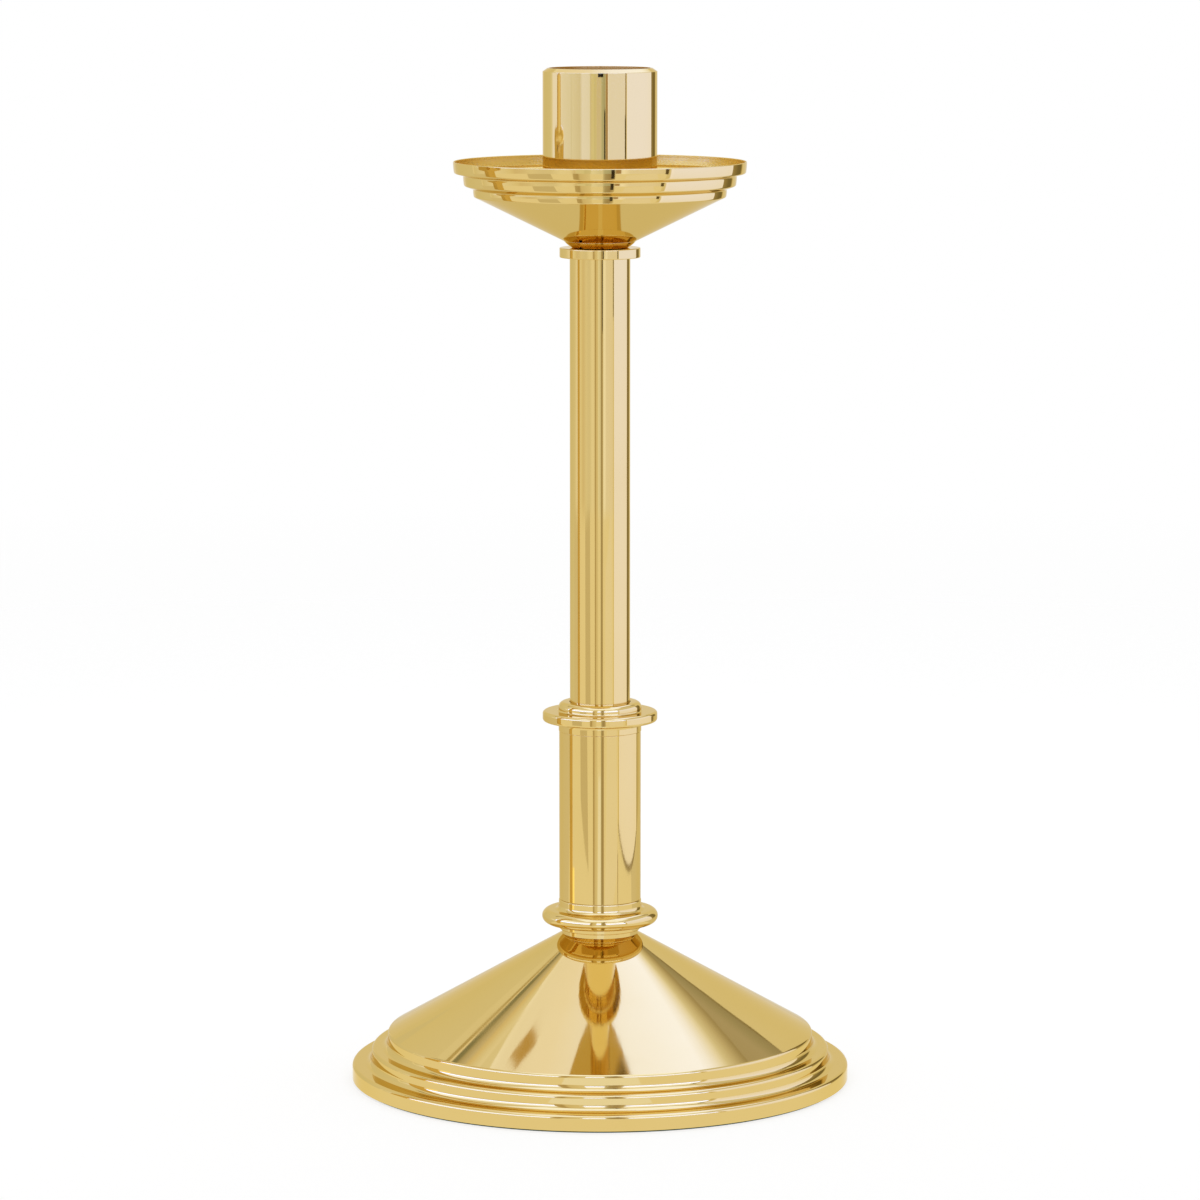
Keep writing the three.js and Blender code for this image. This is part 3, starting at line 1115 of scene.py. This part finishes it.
def makeFloor(look):
    floor = newPiece("plain_floor", [], [])
    disc = bmesh.new()
    bmesh.ops.create_circle(disc, cap_ends=True, segments=look["sides"], radius=look["radius"])
    disc.to_mesh(floor.data)
    disc.free()
    material, start = newMaterial("plainFloor")
    radius = aroundAxis(start, placeOn(start))[0]
    fade = between(start, radius, look["fadeFrom"], look["fadeTo"])
    under = start.node("ShaderNodeNewGeometry", None, None, "Backfacing")
    hidden = start.maths("MAXIMUM", fade, under)
    paint = start.node("ShaderNodeBsdfDiffuse", None, {"Color": look["colour"]})
    white = start.node("ShaderNodeEmission", None, {"Color": (1, 1, 1, 1), "Strength": 1.0})
    share = backgroundRays(start) * look["whiteShare"]
    pale = start.node("ShaderNodeMixShader", None, {0: share, 1: paint, 2: white})
    clear = start.node("ShaderNodeBsdfTransparent")
    surface = start.node("ShaderNodeMixShader", None, {0: hidden, 1: pale, 2: clear})
    start.node("ShaderNodeOutputMaterial", None, {"Surface": surface})
    floor.data.materials.append(material)


roomLight = {
    "strength": 0.9,
}


def makeWorld(look):
    world = bpy.data.worlds.new("studioLight")
    bpy.context.scene.world = world
    world.use_nodes = True
    world.node_tree.nodes.clear()
    start = Wire(world.node_tree)
    dim = {"Color": (1, 1, 1, 1), "Strength": look["strength"]}
    light = start.node("ShaderNodeBackground", None, dim)
    white = start.node("ShaderNodeBackground", None, {"Color": (1, 1, 1, 1), "Strength": 1.0})
    sky = start.node("ShaderNodeMixShader", None, {0: backgroundRays(start), 1: light, 2: white})
    start.node("ShaderNodeOutputWorld", None, {"Surface": sky})


# Light of a card: its colours run from its first end to its last, and a tint fades up from its foot
def cardMaterial(name, stops, footTint):
    material, start = newMaterial(name)
    place = start.node("ShaderNodeTexCoord", None, None, "UV")
    along = start.node("ShaderNodeSeparateXYZ", None, {"Vector": place})
    colour = start.node("ShaderNodeValToRGB", {"stops": stops}, {"Fac": along})
    tint = start.mix(along.other("Y"), (*footTint, 1), (1, 1, 1, 1))
    tinting = {"data_type": "RGBA", "blend_type": "MULTIPLY"}
    light = start.node("ShaderNodeMix", tinting, {0: 1.0, 6: colour, 7: tint}, 2)
    glow = start.node("ShaderNodeEmission", None, {"Color": light, "Strength": 1.0})
    start.node("ShaderNodeOutputMaterial", None, {"Surface": glow})
    return material


# A level card over four places on the floor plan
def layCard(name, places, height, stops):
    card = newPiece(name, [(*place, height) for place in places], [(0, 1, 2, 3)])
    paintCard(card, stops)


# A standing card on a line of places on the floor plan
def standCard(name, places, low, high, stops, footTint=(1, 1, 1)):
    vertices = []
    for x, y in places:
        vertices += [(x, y, low), (x, y, high)]
    feet = range(0, 2 * len(places) - 2, 2)
    faces = [(foot, foot + 2, foot + 3, foot + 1) for foot in feet]
    card = newPiece(name, vertices, faces)
    paintCard(card, stops, footTint)


def paintCard(card, stops, footTint=(1, 1, 1)):
    spots = card.data.uv_layers.new(name="UVMap").data
    count = len(card.data.polygons)
    for step in range(count):
        near, far = step / count, (step + 1) / count
        for corner, place in enumerate([(near, 0), (far, 0), (far, 1), (near, 1)]):
            spots[4 * step + corner].uv = place
    card.data.materials.append(cardMaterial(card.name, stops, footTint))
    showInReflections(card)


def showInReflections(card):
    card.visible_camera = False
    card.visible_diffuse = False
    card.visible_shadow = False


def planPlace(azimuth, distance):
    angle = math.radians(azimuth)
    return distance * math.sin(angle), -distance * math.cos(angle)


def planArc(first, last, distance, flat=6):  # degrees that each flat spans
    count = max(1, math.ceil((last - first) / flat))
    return [planPlace(first + (last - first) * step / count, distance) for step in range(count + 1)]


# Flat cards near the candlestick: azimuth and distance of both ends, lower and upper edge,
# colours by share of the width, and the tint at the foot
nearCards = {
    "left_stand": ((-19.5, 0.55), (-7, 0.55), 0, 0.5, [
        (0, (0.62, 0.54, 0.38)), (0.28, (0.55, 0.46, 0.3)), (0.4, (0.8, 0.74, 0.6)),
        (1, (0.9, 0.88, 0.8)),
    ]),
    "left_stand_top": ((-17, 0.55), (-6.5, 0.55), 0.5, 0.64, [
        (0, (0.86, 0.88, 0.84)), (0.5, (0.86, 0.9, 0.84)), (0.6, (0.78, 0.8, 0.72)),
        (1, (0.84, 0.86, 0.8)),
    ]),
    "right_stand": ((2.2, 0.55), (11, 0.55), 0, 0.5, [
        (0, (0.75, 0.74, 0.66)), (0.2, (0.52, 0.48, 0.38)), (0.6, (0.44, 0.37, 0.26)),
        (1, (0.7, 0.64, 0.5)),
    ]),
    "right_stand_top": ((2, 0.55), (15.5, 0.55), 0.5, 0.64, [
        (0, (0.8, 0.84, 0.9)), (0.1, (0.62, 0.68, 0.68)), (0.55, (0.5, 0.55, 0.55)),
        (0.65, (0.72, 0.72, 0.7)), (0.72, (0.49, 0.36, 0.24)), (0.95, (0.49, 0.36, 0.24)),
        (1, (1.2, 1.3, 1.8)),
    ]),
    "dark_knob": ((-3, 0.075), (5, 0.075), 0.6388, 0.6415, [(0, (0.02, 0.02, 0.02))]),
    "left_glint": ((-83, 0.5), (-76, 0.5), 0, 0.05, [(0, (1.4, 1.25, 0.65)), (1, (1.5, 1.35, 0.75))]),
    "band_stand": ((8, 0.5), (10.4, 0.5), 0.44, 0.6, [(0, (0.05, 0.04, 0.03))]),
    "band_pole": ((50, 0.88), (52.6, 0.86), 0.42, 0.58, [(0, (0.14, 0.11, 0.06))]),
    "right_post": ((49.5, 0.62), (51.5, 0.62), 0, 0.04, [(0, (0.55, 0.46, 0.34))]),
    "right_softbox": ((51.5, 0.95), (124, 0.9), 0.006, 0.64, [
        (0, (0.9, 0.9, 0.85)), (0.05, (0.84, 0.84, 0.78)), (0.07, (1.18, 1.35, 2.7)),
        (0.11, (1.11, 1.28, 2.55)), (0.92, (1.11, 1.28, 2.55)), (0.985, (1.16, 1.34, 2.8)),
        (1, (0.5, 0.45, 0.32)),
    ], (0.97, 0.88, 0.6)),
    "right_softbox_foot": ((51.5, 0.95), (124, 0.9), 0, 0.006, [(0, (0.36, 0.31, 0.22))]),
    "right_softbox_pole": ((51, 0.93), (55.5, 0.93), 0.48, 0.64, [
        (0, (0.42, 0.35, 0.25)), (1, (0.36, 0.3, 0.2)),
    ]),
    "right_edge_low": ((124, 0.9), (146, 1.2), 0, 0.08, [
        (0, (0.62, 0.57, 0.42)), (1, (0.85, 0.82, 0.72)),
    ]),
    "right_edge": ((124, 0.9), (146, 1.2), 0.08, 0.64, [
        (0, (0.4, 0.35, 0.23)), (0.4, (0.24, 0.21, 0.14)), (0.75, (0.22, 0.2, 0.13)),
        (1, (0.75, 0.66, 0.48)),
    ]),
}

# Curved cards far round the candlestick: both azimuths, distance, edges, colours and foot tint
farCards = {
    "far_left_low": (-116, -70, 3.1, 0, 0.34, [
        (0, (0.84, 0.83, 0.74)), (0.4, (1.0, 1.03, 1.15)), (0.6, (0.98, 1.0, 1.05)),
        (0.9, (0.92, 0.9, 0.8)), (1, (0.86, 0.82, 0.7)),
    ]),
    "far_wedge_low": (-70, -19, 3.1, 0, 0.34, [
        (0, (0.84, 0.78, 0.68)), (0.15, (0.86, 0.82, 0.74)), (0.3, (0.92, 0.92, 0.88)),
        (0.5, (0.87, 0.87, 0.86)), (0.62, (0.88, 0.88, 0.84)), (0.78, (1.0, 1.02, 1.05)),
        (0.93, (0.98, 0.98, 0.98)), (1, (0.8, 0.76, 0.68)),
    ]),
    "far_centre_low": (-19, 19, 3.1, 0, 0.34, [
        (0, (0.9, 0.88, 0.8)), (0.36, (0.98, 1.04, 1.15)), (0.5, (0.88, 0.92, 0.98)),
        (0.8, (1.0, 1.05, 1.2)), (1, (1.14, 1.22, 1.6)),
    ]),
    "far_right_low": (19, 56, 3.1, 0, 0.34, [
        (0, (1.12, 1.18, 1.5)), (0.12, (0.97, 1.0, 1.2)), (0.7, (0.97, 0.98, 1.12)),
        (1, (0.9, 0.9, 0.9)),
    ]),
    "far_left_high": (-116, -19, 3.1, 0.34, 0.62, [
        (0, (0.84, 0.88, 0.84)), (0.04, (0.95, 0.98, 1.1)), (0.08, (1.06, 1.16, 1.85)),
        (0.22, (1.06, 1.16, 1.85)), (0.36, (0.98, 1.06, 1.52)), (0.57, (0.93, 1.0, 1.35)),
        (0.58, (0.84, 0.88, 1.05)), (0.6, (0.93, 1.0, 1.3)), (0.78, (0.86, 0.9, 1.1)),
        (0.83, (1.01, 1.12, 1.8)), (0.98, (0.98, 1.08, 1.65)), (1, (0.86, 0.9, 0.9)),
    ]),
    "far_centre_high": (-19, 15.5, 3.1, 0.34, 0.62, [(0, (0.8, 0.8, 0.88))]),
    "far_right_high": (15.5, 56, 3.1, 0.34, 0.62, [
        (0, (1.1, 1.22, 2.0)), (0.06, (0.99, 1.08, 1.7)), (1, (0.99, 1.08, 1.7)),
    ]),
    "left_back": (-156, -116, 1.6, 0, 0.66, [(0, (0.82, 0.84, 0.88)), (1, (0.84, 0.85, 0.82))]),
    "front_glow": (-100, 56, 3.1, 0.62, 0.84, [(0, (1.8, 2.8, 11.0))]),
    "front_high": (-100, 56, 3.1, 0.84, 2.4, [(0, (1.3, 1.55, 2.8))]),
    "right_room": (56, 140, 2.0, 0.64, 2.2, [(0, (0.84, 0.84, 0.83))]),
    "left_room": (-160, -100, 2.6, 0.66, 2.2, [(0, (0.86, 0.865, 0.85))]),
    "back_wall": (140, 200, 3.2, 0, 5.0, [(0, (0.88, 0.88, 0.88))]),
}

# Level cards. Those just above the floor show where its reflection differs from its own white,
# and those overhead surround the softbox: four places on the floor plan, height, and colours
# from the first place to the second
levelCards = {
    "above_front": ([(-0.95, -1.4), (1.28, -1.4), (1.28, 0.1), (-0.95, 0.1)], 2.0, [
        (0, (1.27, 1.5, 2.5)),
    ]),
    "above_left": ([(-3.2, -3.2), (-0.8, -3.2), (-0.8, 3.2), (-3.2, 3.2)], 2.3, [
        (0, (0.9, 0.91, 0.92)),
    ]),
    "above_right": ([(1.1, -3.2), (3.2, -3.2), (3.2, 3.2), (1.1, 3.2)], 2.3, [(0, (0.81, 0.82, 0.84))]),
    "shade_left": ([(-3, 1.7), (-3, 1.1), (-0.8, 1.1), (-0.8, 1.7)], 2.01, [
        (0, (0.58, 0.505, 0.33)), (0.125, (0.58, 0.505, 0.33)), (0.16, (1.03, 0.99, 1.0)),
        (0.2, (1.03, 0.99, 1.0)), (0.25, (0.26, 0.28, 0.24)), (0.37, (0.3, 0.31, 0.25)),
        (0.44, (0.54, 0.505, 0.42)), (0.6, (0.68, 0.66, 0.66)), (0.72, (0.86, 0.78, 0.62)),
        (0.88, (0.91, 0.92, 0.93)), (1, (0.98, 1.0, 1.1)),
    ]),
    "shade_right": ([(1, 1.2), (1, 2.14), (2.4, 3.78), (2.4, 2.84)], 2.01, [
        (0, (0.49, 0.46, 0.41)), (0.45, (0.52, 0.5, 0.5)), (0.68, (0.44, 0.434, 0.4)),
        (0.88, (0.4, 0.385, 0.36)), (0.94, (0.31, 0.28, 0.19)), (1, (0.31, 0.28, 0.19)),
    ]),
    "left_spot": ([(-0.644, 0.832), (-0.535, 0.712), (-0.627, 0.75), (-0.716, 0.856)], 1.95, [
        (0, (0.6, 0.42, 0.16)),
    ]),
    "floor_front": ([(-3, -3), (3, -3), (3, 0.1), (-3, 0.1)], 0.0003, [(0, (0.99, 0.98, 0.93))]),
    "floor_back": ([(-3, 0.1), (3, 0.1), (3, 3), (-3, 3)], 0.0003, [(0, (0.82, 0.8, 0.74))]),
    "floor_right": ([(0.1, -0.5), (0.9, -2.4), (2.4, -2.4), (0.6, -0.5)], 0.0006, [
        (0, (1.0, 1.01, 1.1)),
    ]),
    "floor_near": ([(-0.06, -0.2), (0.06, -0.2), (0.2, -1.2), (-0.1, -1.2)], 0.0009, [
        (0, (1.05, 1.13, 1.4)),
    ]),
    "floor_wedge": ([(-0.4, -0.64), (-0.9, -0.61), (-2.6, -1.6), (-2, -2.5)], 0.0006, [
        (0, (0.74, 0.7, 0.6)),
    ]),
}


# The overhead softbox lights the cone's front, and its dark edges draw the cone's diagonals.
# Its own light falls from a lamp, and reflections show a card.
overhead = {
    "places": [(-0.84, 0.1), (1.18, 0.1), (1.18, 2.8), (-0.84, 2.8)],
    "height": 2.0,
    "stops": [
        (0, (1.1, 1.18, 1.6)), (0.03, (1.05, 1.11, 1.46)), (0.21, (1.08, 1.13, 1.5)),
        (0.33, (1.1, 1.19, 1.77)), (0.5, (1.22, 1.45, 2.9)), (0.8, (1.28, 1.57, 3.4)),
        (0.84, (1.2, 1.42, 2.8)), (0.888, (1.04, 1.13, 1.6)), (0.912, (0.86, 0.89, 0.98)),
        (0.95, (0.68, 0.66, 0.63)), (1, (0.41, 0.37, 0.285)),
    ],
    "lampSize": 1.8,
    "lampBack": 0.6,
    "lampPower": 13.0,
}


def makeOverhead(look):
    layCard("overhead_card", look["places"], look["height"], look["stops"])
    lamp = bpy.data.lights.new("overhead_lamp", "AREA")
    lamp.size = look["lampSize"]
    lamp.energy = look["lampPower"]
    softbox = bpy.data.objects.new("overhead_lamp", lamp)
    softbox.location = (0, look["lampBack"], look["height"])
    softbox.visible_camera = False
    softbox.visible_glossy = False
    bpy.context.scene.collection.objects.link(softbox)


# A second brass candlestick that stands to the left, out of the picture
neighbour = {
    "azimuth": -87.5,
    "distance": 0.42,
    "sides": 96,
    "outline": [
        (0, 0), (40, 0), (40, 535), (88, 548), (88, 575), (94, 583), (88, 590), (38, 592), (36, 628),
        (0, 630),
    ],
}


def makeNeighbour(look):
    outline = [Vector(point) for point in look["outline"]]
    stick = turn("neighbour", outline, look["sides"], "polished_brass")
    x, y = planPlace(look["azimuth"], look["distance"])
    stick.location = (x, y, 0)
    showInReflections(stick)


camera = {
    "distance": 3.334,
    "height": 0.7587,
    "downwards": 7.69,  # degrees
    "lens": 159.03,
    "sensor": 36.0,
}


def makeCamera(look):
    lens = bpy.data.cameras.new("camera")
    lens.lens = look["lens"]
    lens.sensor_width = look["sensor"]
    viewer = bpy.data.objects.new("camera", lens)
    viewer.location = (0, -look["distance"], look["height"])
    viewer.rotation_euler = (math.radians(90 - look["downwards"]), 0, 0)
    bpy.context.scene.collection.objects.link(viewer)
    bpy.context.scene.camera = viewer


makeFloor(floorLook)
makeWorld(roomLight)
for name, (first, last, *look) in nearCards.items():
    standCard(name, [planPlace(*first), planPlace(*last)], *look)
for name, (first, last, distance, *look) in farCards.items():
    standCard(name, planArc(first, last, distance), *look)
for name, values in levelCards.items():
    layCard(name, *values)
makeOverhead(overhead)
makeNeighbour(neighbour)
makeCamera(camera)
bpy.context.scene.view_settings.view_transform = "Standard"
print("studio ready")
